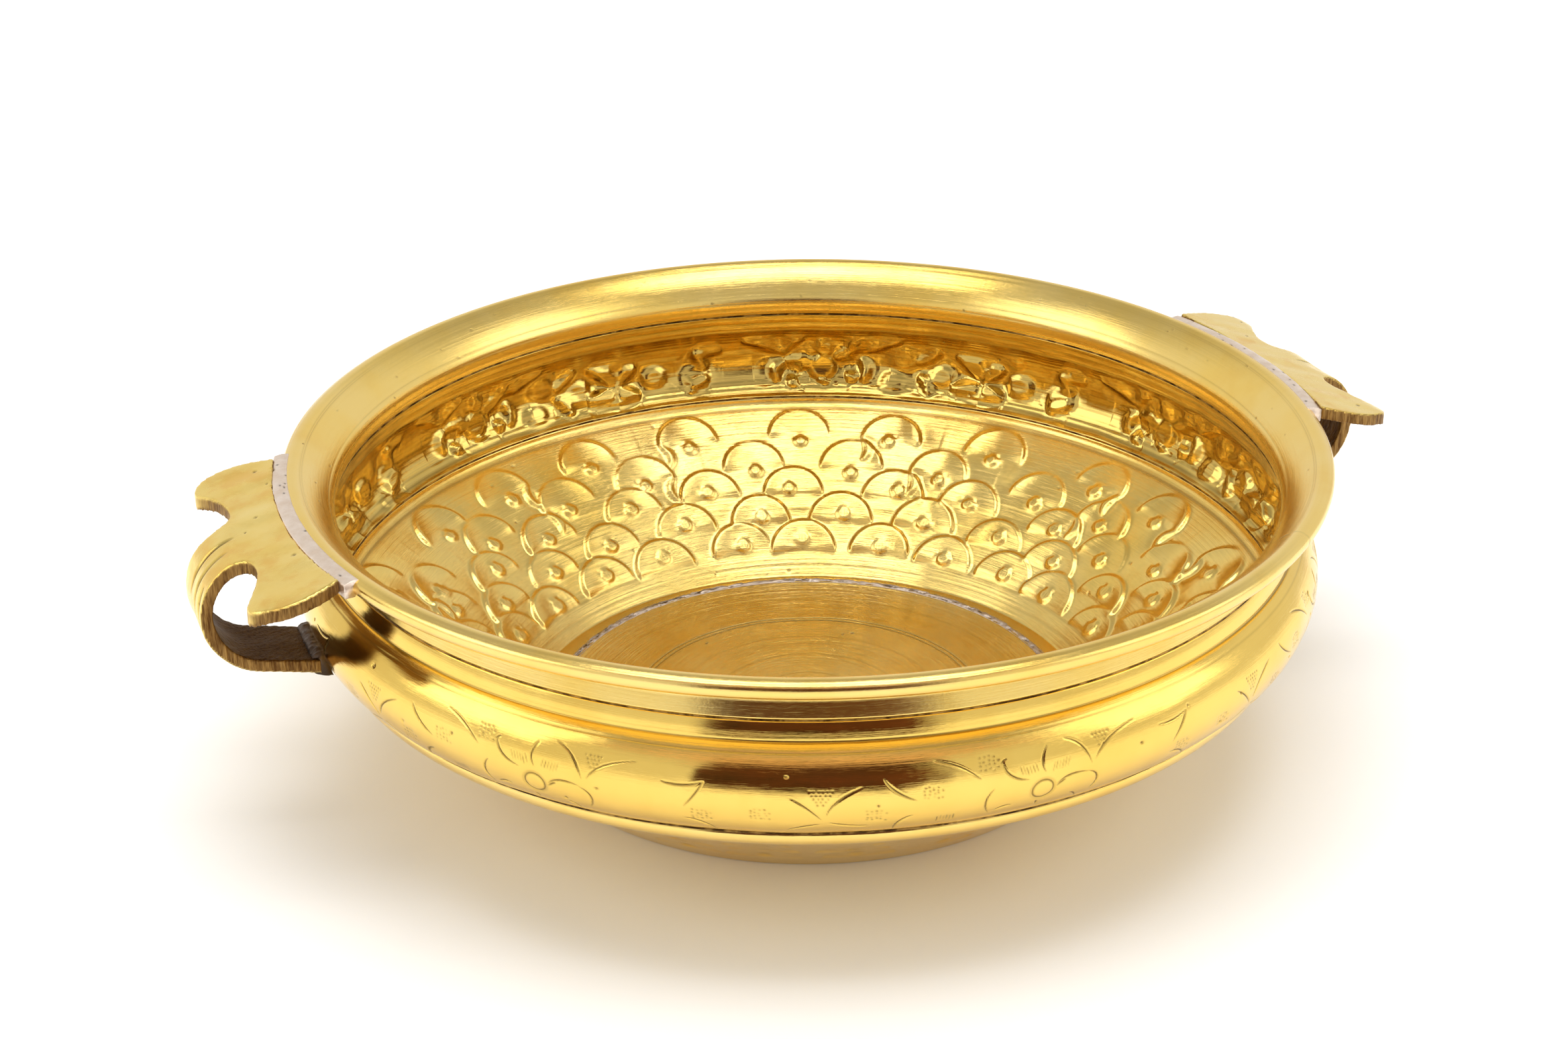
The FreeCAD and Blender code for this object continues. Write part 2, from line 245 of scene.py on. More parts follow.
def dome(wide, tall, height, steep, grime_and_shade=0.0):
    """A rounded bump with an oval foot. A high steep gives it sides like a punched dot."""
    def shape(u, v):
        away = np.sqrt((u / wide) ** 2 + (v / tall) ** 2)
        return height / (1 + away ** steep), grime_and_shade * np.exp(-away ** 2)

    return shape


def ring_mark(radius, width, height, grime_and_shade):
    """A round line."""
    def shape(u, v):
        line = np.exp(-((np.hypot(u, v) - radius) / width) ** 2)
        return height * line, grime_and_shade * line

    return shape


SCALE_OPENING = 104.0
SCALE_FADE = 26.0


def scale_mark(radius, lift, top_share, lean):
    """A fish-scale mark: a half-round ridge, open down the sheet, round a swollen field, with a line of
    painted shade just outside the ridge.
    """
    def shape(u, v):
        edge = np.hypot(u, v) - radius
        turn = np.degrees(np.arctan2(u, -v))
        size = np.abs(turn)
        fade = smooth((SCALE_OPENING - size) / SCALE_FADE)
        strength = lift * fade * (top_share + (1 - top_share) * smooth(size / 70)) * (1 + lean * turn / 90)
        field = np.exp(np.minimum(edge, 0) / (3.0 + 2.5 * top_share))
        outer = np.maximum(edge, 0)
        wall = np.exp(-(outer / 0.8) ** 2)
        dip = outer / 1.8 * np.exp(1 - outer / 1.8)
        height = strength * (np.where(edge < 0, field, wall) - 0.28 * dip)
        # The thin dark line just outside the ridge is painted shade.
        return height, 0.05 * np.abs(strength) * np.exp(-((edge - 0.8) / 0.4) ** 2)

    return shape


# Building meshes

def link(name, mesh):
    piece = bpy.data.objects.new(name, mesh)
    bpy.context.scene.collection.objects.link(piece)
    return piece


def mesh_from(name, points, faces, caps=()):
    """A smooth mesh from metres. caps are extra many-sided faces that close the ends of a sweep."""
    mesh = bpy.data.meshes.new(name)
    corners = np.concatenate([faces.ravel(), *caps]) if len(caps) else faces.ravel()
    sizes = np.concatenate([np.full(len(faces), 4), [len(c) for c in caps]]).astype(np.int32)
    mesh.vertices.add(len(points))
    mesh.vertices.foreach_set("co", points.astype(np.float32).ravel())
    mesh.loops.add(len(corners))
    mesh.loops.foreach_set("vertex_index", corners.astype(np.int32))
    mesh.polygons.add(len(sizes))
    mesh.polygons.foreach_set("loop_start", np.concatenate([[0], np.cumsum(sizes)[:-1]]).astype(np.int32))
    mesh.polygons.foreach_set("use_smooth", np.ones(len(sizes), bool))
    mesh.update(calc_edges=True)
    mesh.validate()
    return mesh


def mark(mesh, name, values):
    """Stores one number for each point, which the materials read."""
    attribute = mesh.attributes.new(name, "FLOAT", "POINT")
    attribute.data.foreach_set("value", np.asarray(values, np.float32).ravel())


def read(items, name):
    """Three numbers for each item of a mesh."""
    values = np.zeros(len(items) * 3)
    items.foreach_get(name, values)
    return values.reshape(-1, 3)


def sweep(name, relief, first=0.0, last=None):
    """Turns a section with its relief round the bowl's axis, or through part of a turn with closed ends."""
    section = relief.section
    rows, columns = relief.height.shape
    whole = last is None
    angles = relief.angles if whole else np.linspace(first, last, columns)
    radius = section.points[:, :1] + section.normals[:, :1] * relief.height
    up = section.points[:, 1:] + section.normals[:, 1:] * relief.height
    points = np.stack([radius * np.cos(angles), radius * np.sin(angles), up], -1).reshape(-1, 3) * MM
    i, j = np.meshgrid(np.arange(rows), np.arange(columns if whole else columns - 1), indexing="ij")
    below, beside = (i + 1) % rows, (j + 1) % columns
    corners = [i * columns + j, i * columns + beside, below * columns + beside, below * columns + j]
    faces = np.stack(corners, -1).reshape(-1, 4)
    ends = []
    if not whole:
        start = np.arange(rows) * columns
        ends = [start, (start + columns - 1)[::-1]]
    mesh = mesh_from(name, points, faces, ends)
    mark(mesh, "along", section.along[:, None] + 0 * relief.height)
    mark(mesh, "grime_and_shade", np.clip(relief.grime_and_shade, 0, 1))
    mark(mesh, "inside", (section.side == INSIDE)[:, None] + 0 * relief.height)
    return link(name, mesh)


def outward(piece):
    """Turns the faces to point out, so that the finish reads them the right way."""
    bpy.context.view_layer.objects.active = piece
    piece.select_set(True)
    bpy.ops.object.mode_set(mode="EDIT")
    bpy.ops.mesh.select_all(action="SELECT")
    bpy.ops.mesh.remove_doubles(threshold=1e-7)
    bpy.ops.mesh.normals_make_consistent(inside=False)
    bpy.ops.object.mode_set(mode="OBJECT")
    piece.select_set(False)


# Materials

class Nodes:
    """A material's node tree, with short calls for the nodes used here."""

    def __init__(self, name):
        self.material = bpy.data.materials.new(name)
        self.material.use_nodes = True
        self.tree = self.material.node_tree
        self.shader = self.tree.nodes["Principled BSDF"]
        self.where = self.add("ShaderNodeTexCoord").outputs["Object"]

    def add(self, kind, **settings):
        node = self.tree.nodes.new(kind)
        for key, value in settings.items():
            setattr(node, key, value)
        return node

    def join(self, out, into):
        self.tree.links.new(out, into)

    def attribute(self, name):
        return self.add("ShaderNodeAttribute", attribute_name=name).outputs["Fac"]

    def maths(self, operation, a, b):
        node = self.add("ShaderNodeMath", operation=operation)
        for socket, value in zip(node.inputs, (a, b)):
            if isinstance(value, (int, float)):
                socket.default_value = value
            else:
                self.join(value, socket)
        return node.outputs[0]

    def noise(self, vector, scale, detail, roughness=0.6):
        node = self.add("ShaderNodeTexNoise")
        node.inputs["Scale"].default_value = scale
        node.inputs["Detail"].default_value = detail
        node.inputs["Roughness"].default_value = roughness
        self.join(vector, node.inputs["Vector"])
        return node.outputs["Fac"]

    def ramp(self, factor, *stops):
        node = self.add("ShaderNodeValToRGB")
        elements = node.color_ramp.elements
        while len(elements) < len(stops):
            elements.new(0.5)
        for element, (place, colour) in zip(elements, stops):
            element.position = place
            element.color = (*colour, 1) if isinstance(colour, tuple) else (colour, colour, colour, 1)
        self.join(factor, node.inputs["Fac"])
        return node.outputs["Color"]

    def mix(self, factor, a, b):
        node = self.add("ShaderNodeMix", data_type="RGBA")
        for socket, value in ((node.inputs["Factor"], factor), (node.inputs["A"], a), (node.inputs["B"], b)):
            if isinstance(value, tuple):
                socket.default_value = (*value, 1)
            elif isinstance(value, (int, float)):
                socket.default_value = value
            else:
                self.join(value, socket)
        return node.outputs["Result"]

    def stretched(self, level, up, height=None):
        """The place, with level as its scale sideways and up as the scale of its height, or of height."""
        split = self.add("ShaderNodeSeparateXYZ")
        self.join(self.where, split.inputs[0])
        joined = self.add("ShaderNodeCombineXYZ")
        source = (split.outputs[0], split.outputs[1], height or split.outputs[2])
        for socket, value, scale in zip(joined.inputs, source, (level, level, up)):
            self.join(self.maths("MULTIPLY", value, scale), socket)
        return joined.outputs[0]

    def bump(self, height, distance, before=None):
        node = self.add("ShaderNodeBump")
        node.inputs["Distance"].default_value = distance
        node.inputs["Strength"].default_value = 1.0
        self.join(height, node.inputs["Height"])
        if before is not None:
            self.join(before, node.inputs["Normal"])
        return node.outputs["Normal"]

    def metal(self, colour, roughness, normal):
        """Finishes the shader as bare metal, darkened where the mesh is marked: grime in pits and joints,
        grime and painted shade in cuts and grooves, and painted shade beside the scale ridges and on the
        handles' hidden inner faces.
        """
        self.join(self.mix(self.attribute("grime_and_shade"), colour, GRIME_AND_SHADE), self.shader.inputs["Base Color"])
        self.join(roughness, self.shader.inputs["Roughness"])
        self.join(normal, self.shader.inputs["Normal"])
        self.shader.inputs["Metallic"].default_value = 1.0
        return self.material


BRASS_PALE = (0.94, 0.69, 0.23)
BRASS = (0.93, 0.64, 0.155)
BRASS_DEEP = (0.86, 0.57, 0.12)
BRASS_ORANGE = (0.86, 0.53, 0.10)
BRASS_BROWN = (0.56, 0.40, 0.12)
# Dark brown for grime, also used as painted shade in cuts, grooves and hidden faces
GRIME_AND_SHADE = (0.050, 0.022, 0.006)
SOLDER_PALE = (0.96, 0.82, 0.70)
SOLDER_DEEP = (0.84, 0.69, 0.56)
BRAZE_WORN = (0.60, 0.36, 0.10)
BRAZE_DARK = (0.10, 0.05, 0.015)
PLATE_PALE = (0.97, 0.74, 0.24)
PLATE_DEEP = (0.94, 0.66, 0.16)
PLATE_STAIN = (0.88, 0.50, 0.10)
SAWN_DARK = (0.15, 0.07, 0.022)
SAWN_PALE = (0.42, 0.25, 0.08)


def brass(name, pale, deep, rough, line_size, spread, grain=0.0, tarnish_and_shade=0.0):
    """Turned and polished brass: mottled colour, lathe lines and worn patches.

    spread is how far the lathe lines move the roughness, and tarnish browns what faces the inside, partly as
    tarnish and partly as painted shade of the bowl's inner wall.
    """
    n = Nodes(name)
    mottle = n.noise(n.where, 22, 4)
    blotch = n.noise(n.where, 60, 3)
    lines = n.noise(n.stretched(14, 1.3, n.attribute("along")), 1.0, 5, 0.75)
    body = n.mix(n.ramp(mottle, (0.38, 0.0), (0.66, 1.0)), pale, deep)
    warm = n.ramp(n.maths("MULTIPLY", mottle, blotch), (0.27, 0.0), (0.40, 1.0))
    body = n.mix(n.maths("MULTIPLY", warm, 0.3), body, BRASS_ORANGE)
    body = n.mix(n.ramp(lines, (0.30, 0.28), (0.45, 0.0)), body, BRASS_DEEP)
    # Browns the inner wall in streaks: partly tarnish, partly painted shade.
    if tarnish_and_shade:
        streak = n.ramp(lines, (0.35, 1.0), (0.65, 0.35))
        share = n.maths("MULTIPLY", n.maths("MULTIPLY", n.attribute("inside"), tarnish_and_shade), streak)
        body = n.mix(share, body, BRASS_BROWN)
    lined = n.maths("MULTIPLY", n.maths("SUBTRACT", lines, 0.5), spread)
    worn = n.maths("MULTIPLY", n.maths("SUBTRACT", blotch, 0.5), spread * 0.6)
    dull = n.maths("MULTIPLY", n.attribute("grime_and_shade"), 0.4)
    total = n.maths("ADD", n.maths("ADD", lined, worn), n.maths("ADD", dull, rough))
    normal = n.bump(lines, line_size)
    if grain:
        normal = n.bump(n.noise(n.where, 900, 3), grain, normal)
    return n.metal(body, n.maths("MAXIMUM", total, 0.03), normal)


def solder_metal():
    """Dull pinkish-grey solder, wiped smooth, with pits."""
    n = Nodes("solder_metal")
    mottle = n.noise(n.where, 240, 4)
    body = n.mix(n.ramp(mottle, (0.35, 0.0), (0.65, 1.0)), SOLDER_PALE, SOLDER_DEEP)
    roughness = n.ramp(mottle, (0.3, 0.34), (0.7, 0.52))
    return n.metal(body, roughness, n.bump(n.noise(n.where, 1500, 4), 0.00012))


def braze_metal():
    """The dark line of a brazed seam, part polished and part pitted."""
    n = Nodes("braze_metal")
    patch = n.noise(n.where, 160, 5)
    body = n.mix(n.ramp(patch, (0.42, 0.0), (0.58, 1.0)), BRAZE_WORN, BRAZE_DARK)
    roughness = n.ramp(patch, (0.3, 0.25), (0.7, 0.6))
    return n.metal(body, roughness, n.bump(n.noise(n.where, 1200, 3), 0.00015))


def handle_metal():
    """Plate brass: polished faces with orange stains, and brown sawn edges with grinding marks."""
    n = Nodes("handle_metal")
    mottle = n.noise(n.where, 45, 4)
    stain = n.noise(n.where, 120, 3)
    body = n.mix(n.ramp(mottle, (0.38, 0.0), (0.62, 1.0)), PLATE_PALE, PLATE_DEEP)
    warm = n.ramp(n.maths("MULTIPLY", mottle, stain), (0.26, 0.0), (0.36, 1.0))
    body = n.mix(n.maths("MULTIPLY", warm, 0.45), body, PLATE_STAIN)
    ground = n.noise(n.stretched(1, 0.12), 1300, 3)
    edges = n.attribute("raw")
    body = n.mix(edges, body, n.mix(n.ramp(ground, (0.35, 0.0), (0.65, 1.0)), SAWN_DARK, SAWN_PALE))
    shine = n.maths("MULTIPLY", n.maths("SUBTRACT", stain, 0.42), 0.30)
    dull = n.maths("MULTIPLY", edges, 0.30)
    roughness = n.maths("ADD", n.maths("ADD", shine, 0.24), dull)
    cut = n.bump(n.maths("MULTIPLY", ground, edges), 0.0004)
    return n.metal(body, roughness, n.bump(n.noise(n.where, 350, 4), 0.00006, cut))


def give(piece, material, slot, *nodes):
    """Sets a piece's finish and body, and hides the CAD nodes that it stands for; slot is not used."""
    piece.data.materials.clear()
    piece.data.materials.append(material)
    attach(piece, "root")
    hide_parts(*nodes)
    return piece


# The rim

# Place along the sheet and depth of the fine grooves in the throat and face
RIM_GROOVES = ((1.0, 0.10), (2.6, 0.07), (4.6, 0.08), (7.5, 0.06), (17.6, 0.05), (18.2, 0.05))
BUTT_JOINT = math.radians(-49.5)
RIM_POLISH = 0.03


def rim_piece():
    """The thick rim: a throat, a sloping crowned face, a rolled edge, and a waist under it."""
    foot, crown = RIM_LOW.z, RIM_HIGH.z
    joint_in, joint_out = (RIM - 12.95, foot), (RIM - 10.95, foot)
    lip = (RIM - 12.7, foot + 7.35)
    roll = (RIM - 4.4, crown - 0.3)
    corner = (RIM - 1.1, crown - 0.6)
    outermost = (RIM, crown - 2.1)
    under = (RIM - 3.45, crown - 5.45)
    under_lip = (RIM - 11.3, foot + 6.65)
    neck_top = (RIM - 12.1, foot + 3.75)
    section = Section()
    section.run(arc(joint_in, (RIM - 14.15, foot + 3.95), lip, 24), INSIDE, 0, 7.5)
    section.run(arc(lip, (RIM - 8.7, foot + 12.25), roll, 42), INSIDE, 7.5, 19.3)
    section.run(arc(roll, (RIM - 2.75, crown), corner, 12), OUTSIDE, 19.3, 22.7)
    section.run(arc(corner, (RIM - 0.3, crown - 1.2), outermost, 10), OUTSIDE, 22.7, 24.6)
    section.run(arc(outermost, (RIM - 0.5, crown - 4.1), under, 14), OUTSIDE, 24.6, 29.5)
    section.run(arc(under, (RIM - 7.8, foot + 9.05), under_lip, 14), OUTSIDE, 29.5, 38)
    section.run(arc(under_lip, (RIM - 12.3, foot + 5.15), neck_top, 8), OUTSIDE, 38, 41.2)
    section.run(straight(neck_top, joint_out, 8), OUTSIDE, 41.2, 45)
    section.run(straight(joint_out, joint_in, 3), EDGE, 45, 47)
    relief = Relief(section.done(), 1440)
    relief.waves(INSIDE, 0.03, 3, 16, 60)
    relief.waves(OUTSIDE, 0.03, 3, 16, 60)
    relief.turned(INSIDE, 0.012, 1.6)
    for along, depth in RIM_GROOVES:
        broken = 0.6 + 0.4 * np.cos(3 * relief.angles + along) * np.cos(7 * relief.angles)
        relief.groove(INSIDE, along, 0.22, depth, 4.5 * depth, broken)
    for side, along, reach in ((INSIDE, 14.0, 6.0), (OUTSIDE, 23.5, 5.0)):
        line = bend_points((0.0, -reach), (0.6, reach), 0.5)
        relief.stamp(side, BUTT_JOINT, along, reach + 2, stroke(line, 0.22, -0.08, 0.0, 0.55))
    relief.pits(INSIDE, 46, (0.2, 0.4), (0.2, 0.35), 0.12, (0.4, 0.9), (2, 19))
    relief.height = np.minimum(relief.height, -RIM_POLISH)
    return sweep("rim", relief)


# The neck and belly

# Chisel strokes, each through three places in millimetres from its motif's middle: right, then up
FLOWER = (
    ((-13.6, 3.5), (-15.6, -0.5), (-14.3, -5.3)), ((-11.1, 10.0), (-9.1, 6.0), (-4.1, 3.8)),
    ((1.4, 12.0), (-0.4, 8.5), (0.4, 5.2)), ((6.4, 12.7), (10.9, 10.0), (13.7, 4.5)),
    ((14.9, 5.2), (19.4, 9.5), (28.2, 12.0)), ((3.9, 0.8), (7.4, 2.7), (12.9, 2.3)),
    ((12.9, 2.3), (15.9, -0.5), (14.9, -5.0)), ((8.9, -4.2), (10.4, -5.4), (11.4, -7.3)),
    ((-1.1, -4.5), (-0.9, -5.4), (-0.8, -6.4)), ((-12.6, -4.5), (-10.4, -3.3), (-8.1, -3.3)),
    ((4.1, 0.2), (5.4, 1.2), (6.6, 1.9)), ((-11.6, 9.4), (-10.9, 10.2), (-9.9, 10.6)),
)
LEAVES = (
    ((-28.6, 12.5), (-22.6, 10.5), (-17.1, 6.5)), ((-41.6, 9.5), (-38.6, 6.0), (-33.4, 3.0)),
    ((-34.1, -1.5), (-37.6, -4.0), (-38.6, -8.5)), ((45.5, 9.0), (43.5, 5.5), (40.5, 1.5)),
    ((35.0, 8.2), (40.5, 7.8), (45.5, 9.0)), ((40.5, -2.5), (45.0, -4.0), (48.0, -7.5)),
)
CROSS = (
    ((-8.3, 5.8), (-4.3, 3.0), (-0.3, -1.3)), ((0.9, 0.0), (3.7, 4.5), (9.7, 8.0)),
    ((-0.8, -3.3), (-4.6, -4.2), (-8.8, -6.0)), ((1.4, -2.5), (6.2, -4.0), (11.2, -4.5)),
)
STIPPLES = ((-14.6, 10.3), (-29.1, 4.8), (45.0, -1.0), (-72.0, 0.0), (-43.3, -0.8))
# Right, up and lean of the hatched patches
HATCHES = ((-4.1, 6.7, -0.35), (4.9, 6.5, 0.35), (-25.6, -4.5, 0.0))
# Right, up, width, height along the sheet, and rise of the soft swellings between the cuts
SWELLINGS = (
    (0.0, 9.0, 4.0, 3.5, 0.10), (-9.5, 3.0, 4.5, 4.0, 0.12), (9.5, -1.5, 4.5, 4.0, 0.12),
    (14.0, 9.0, 5.5, 3.0, -0.10), (-22.0, 8.5, 5.0, 2.5, 0.12), (-38.0, 2.0, 6.0, 4.0, 0.10),
    (42.0, 10.5, 4.0, 2.0, 0.14), (34.0, 3.0, 7.0, 4.0, 0.10),
)
FLOWERS = 7
FLOWER_START = math.radians(220.2)
FLOWER_ALONG = 30.3
CROSS_TURN = math.radians(29.1)


def through(start, via, end):
    """Seven points along a smooth curve through three places, turned so that down the sheet is positive."""
    share = np.linspace(0, 1, 7)[:, None]
    a, b, c = (np.array([x, -y]) for x, y in (start, via, end))
    return (1 - share) * (1 - 2 * share) * a + 4 * share * (1 - share) * b + share * (2 * share - 1) * c


def engrave(relief, width, depth, sign, lip, grime_and_shade):
    """Strikes each flower, its leaves and its cross, and yields the places for what goes round them.

    sign is -1 for the cuts outside, and 1 for what stands up inside.
    """
    draw = np.random.default_rng(21)
    side = OUTSIDE if sign < 0 else INSIDE
    for k in range(FLOWERS):
        flower = FLOWER_START + k * TURN / FLOWERS + draw.normal(0, 0.003)
        cross = flower + CROSS_TURN
        along = FLOWER_ALONG + draw.normal(0, 0.25)
        for centre, strokes in ((flower, FLOWER), (flower, LEAVES), (cross, CROSS)):
            for places in strokes:
                path = through(*places) + draw.normal(0, 0.15, 2)
                middle = path[3]
                reach = math.dist(path[0], path[6]) / 2 + 3.5
                blow = sign * depth * draw.uniform(0.75, 1.15)
                shape = stroke(path - middle, width, blow, lip, grime_and_shade)
                relief.stamp(side, centre + middle[0] / BELLY, along + middle[1], reach, shape)
        yield side, flower, cross, along, draw


def engrave_outside(relief):
    """Chisel cuts with stippled and hatched spots, all but closed up by the polishing. The cuts, rings and
    dots are darkened, partly by grime and partly by painted shade.
    """
    for side, flower, cross, along, draw in engrave(relief, 0.27, 0.30, -1, 0.10, 1.0):
        relief.stamp(side, flower, along, 6, ring_mark(2.9, 0.27, -0.24, 0.8))
        relief.stamp(side, flower, along, 7, ring_mark(3.5, 0.30, -0.06, 0.2))
        relief.stamp(side, flower, along, 6, dome(2.3, 2.3, 0.10, 4))
        for x, y in STIPPLES:
            for row in range(4):
                for column in range(4 + row % 2):
                    dx = (column - 2) * 1.15 + draw.normal(0, 0.15)
                    dy = (row - 1.5) * 1.0 + draw.normal(0, 0.15)
                    dot = dome(0.30, 0.30, -0.10, 4, draw.uniform(0.15, 0.7))
                    relief.stamp(side, flower + (x + dx) / BELLY, along - y + dy, 1.5, dot)
            relief.stamp(side, flower + x / BELLY, along - y, 7, dome(2.8, 2.2, -0.08, 3))
        for x, y, lean in HATCHES:
            for i in range(6):
                line = bend_points((lean, -1.3), (-lean, 1.3), 0)
                cut = stroke(line, 0.22, -0.10, 0, draw.uniform(0.3, 0.7))
                place = flower + (x + (i - 2.5) * 0.85) / BELLY
                relief.stamp(side, place, along - y + draw.normal(0, 0.2), 3, cut)
        for centre, x, y, rows in ((cross, -0.6, 7.4, 5), (flower, 16.9, 11.4, 4)):
            for row in range(rows):
                for column in range(rows + 1 - row):
                    dx = x + (column - (rows - row) / 2) * 1.1 + draw.normal(0, 0.1)
                    dot = dome(0.30, 0.30, -0.12, 4, draw.uniform(0.3, 0.8))
                    relief.stamp(side, centre + dx / BELLY, along - y + row * 0.95, 1.5, dot)
        for x, y, wide, tall, height in SWELLINGS:
            relief.stamp(side, flower + x / BELLY, along - y, 14, dome(wide, tall, height, 3))
        relief.stamp(side, cross, along - 6.5, 12, dome(4.5, 2.2, 0.12, 3))


def engrave_inside(relief):
    """The same blows seen from inside: soft ridges, and domes where the stipples and petals were struck."""
    for side, flower, cross, along, draw in engrave(relief, 2.3, 1.7, 1, 0.2, 0.0):
        relief.stamp(side, flower, along, 9, dome(5.2, 4.8, 1.9, 5))
        relief.stamp(side, flower, along, 9, ring_mark(5.4, 0.9, -0.4, 0.10))
        for x, y in STIPPLES:
            size = draw.uniform(4.2, 5.2)
            relief.stamp(side, flower + x / BELLY, along - y, 9, dome(size, size * 0.85, 1.5, 6))
        for x, y, _ in HATCHES:
            relief.stamp(side, flower + x / BELLY, along - y, 8, dome(4.2, 3.6, 1.4, 5))
        for x, y in ((-0.6, 5.6), (-0.4, -4.6)):
            relief.stamp(side, cross + x / BELLY, along - y, 8, dome(4.8, 3.4, 1.5, 5))
        for _ in range(2):
            place = draw.uniform(-24, 24) / BELLY
            relief.stamp(side, cross + place, along + draw.uniform(-9, 9), 9, dome(3.2, 2.8, 0.9, 4))


# Side, place along the sheet, width, depth and darkening of the grooves turned in the wall; the darkening is
# partly grime and partly painted shade
WALL_GROOVES = (
    (OUTSIDE, 11.0, 0.34, 0.22, 0.75), (OUTSIDE, 13.9, 0.28, 0.07, 0.30), (OUTSIDE, 9.2, 0.6, 0.06, 0.0),
    (OUTSIDE, 40.6, 0.6, 0.16, 0.70), (OUTSIDE, 38.9, 0.35, 0.06, 0.30),
    (INSIDE, 11.3, 0.8, 0.22, 0.35), (INSIDE, 5.5, 0.5, 0.14, 0.25), (INSIDE, 8.2, 0.5, 0.10, 0.20),
    (INSIDE, 39.5, 0.6, 0.16, 0.40), (INSIDE, 36.6, 0.5, 0.10, 0.25),
)
INSIDE_CAP = 1.9
OUTSIDE_CAP = 0.25


def wall_piece():
    """The neck and belly: a crease below the neck, engraved flowers outside and their backs inside."""
    top, heel = WALL_HIGH.z, WALL_LOW.z
    joint_out, joint_in = (BELLY - 8.7, top), (BELLY - 10.7, top)
    crease, crease_in = (BELLY - 7.35, top - 4.85), (BELLY - 8.85, top - 6.35)
    heel_out, heel_in = (BELLY - 7.25, heel), (BELLY - 7.25 - SHEET, heel + 0.4)
    section = Section()
    section.run(arc(joint_out, (BELLY - 7.8, top - 2.35), crease, 14), OUTSIDE, 5.7, 10.8)
    section.run(arc(crease, (BELLY, heel + 13.0), heel_out, 118), OUTSIDE, 10.8, 42)
    section.run(straight(heel_out, heel_in, 3), EDGE, 42, 44)
    section.run(arc(heel_in, (BELLY - SHEET, heel + 13.0), crease_in, 60), INSIDE, 42, 11.5)
    section.run(arc(crease_in, (BELLY - 9.8, top - 2.75), joint_in, 14), INSIDE, 11.5, 4.9)
    section.run(straight(joint_in, joint_out, 3), EDGE, 4.9, 5.7)
    relief = Relief(section.done(), 3072)
    relief.waves(OUTSIDE, 0.035, 4, 46, 34)
    relief.waves(INSIDE, 0.10, 6, 60, 26)
    relief.turned(INSIDE, 0.05, 1.3)
    for side, along, width, depth, grime_and_shade in WALL_GROOVES:
        broken = 0.75 + 0.25 * np.cos(5 * relief.angles + along) * np.cos(2 * relief.angles + 1)
        relief.groove(side, along, width, depth, grime_and_shade, broken)
    engrave_outside(relief)
    engrave_inside(relief)
    relief.flatten(INSIDE, INSIDE_CAP, 0.12)
    for side, count in ((OUTSIDE, 30), (INSIDE, 26)):
        relief.pits(side, count, (0.3, 0.55), (0.25, 0.45), 0.3, (0.5, 1.0), (13, 40))
    for _ in range(26):
        spot = dome(rng.uniform(0.6, 2.2), 0.35, -0.2, 4, rng.uniform(0.6, 1.0))
        relief.stamp(OUTSIDE, rng.uniform(0, TURN), rng.uniform(40.2, 41.4), 4.0, spot)
    outer = section.side == OUTSIDE
    relief.height[outer] = np.minimum(relief.height[outer], OUTSIDE_CAP)
    return sweep("neck_and_belly", relief)


# The sloping floor

SCALE_RADIUS = 9.7
SCALE_ROWS = (
    # top of the marks along the sheet, marks round, first mark in degrees, share of lift at the top, dot
    (2.5, 22, 70.0, 0.12, 12.4),
    (14.4, 22, 78.0, 0.18, 11.2),
    (25.0, 23, 69.5, 0.65, 7.6),
    (35.6, 24, 77.0, 1.00, 7.4),
    (45.7, 25, 68.5, 1.00, 7.3),
)
FLOOR_LENGTH = 65.4
FLOOR_MIDDLE = 110
FLOOR_GROOVES = ((0.6, 0.5, 0.12, 0.45), (57.0, 0.35, 0.08, 0.25), (61.5, 0.5, 0.06, 0.15))
HOLE = 77.4
FOLD_INNER = 83.4
FOLD_OUTER = 85.8


def scales(relief, side, sign, lift):
    """Rows of fish-scale marks with a dot in each, punched by hand, so that no two are quite alike."""
    draw = np.random.default_rng(5)
    for top, count, first, top_share, drop in SCALE_ROWS:
        for k in range(count):
            angle = math.radians(first) + (k + draw.normal(0, 0.06)) * TURN / count
            along = top + SCALE_RADIUS + draw.normal(0, 0.5)
            radius = SCALE_RADIUS * draw.uniform(0.94, 1.03)
            size = lift * draw.uniform(0.7, 1.25)
            lean = draw.normal(0.15, 0.3)
            share = top_share * draw.uniform(0.7, 1.2)
            relief.stamp(side, angle, along, 15, scale_mark(radius, sign * size, share, lean))
            dot_angle = angle + draw.normal(0, 0.7) / FLOOR_MIDDLE
            dot_along = top + drop + draw.normal(0, 0.6)
            tall = draw.uniform(1.9, 2.4)
            relief.stamp(side, dot_angle, dot_along, 7, dome(2.0, tall, sign * 1.1 * lift, 6))
            for i in range(4):
                cut = stroke(bend_points((0.0, -1.3), (0.0, 1.3), 0.1), 0.2, -sign * 0.10, 0, 0.25)
                relief.stamp(side, dot_angle + (i - 1.5) * 0.75 / FLOOR_MIDDLE, dot_along, 2.4, cut)
            brow = bend_points((-2.8, -2.4), (2.8, -2.4), 1.4)
            relief.stamp(side, dot_angle, dot_along, 7, stroke(brow, 0.9, -sign * 0.22 * lift, 0.2, 0.03))
            if top < 20 and draw.random() < 0.6:
                hand = 1 if draw.random() < 0.6 else -1
                tail = bend_points((hand * radius, 0.5), (hand * (radius - 1.0), 9.0), hand * 2.0)
                relief.stamp(side, angle, along, 18, stroke(tail, 1.1, sign * 0.8 * lift, 0.3, 0.10))


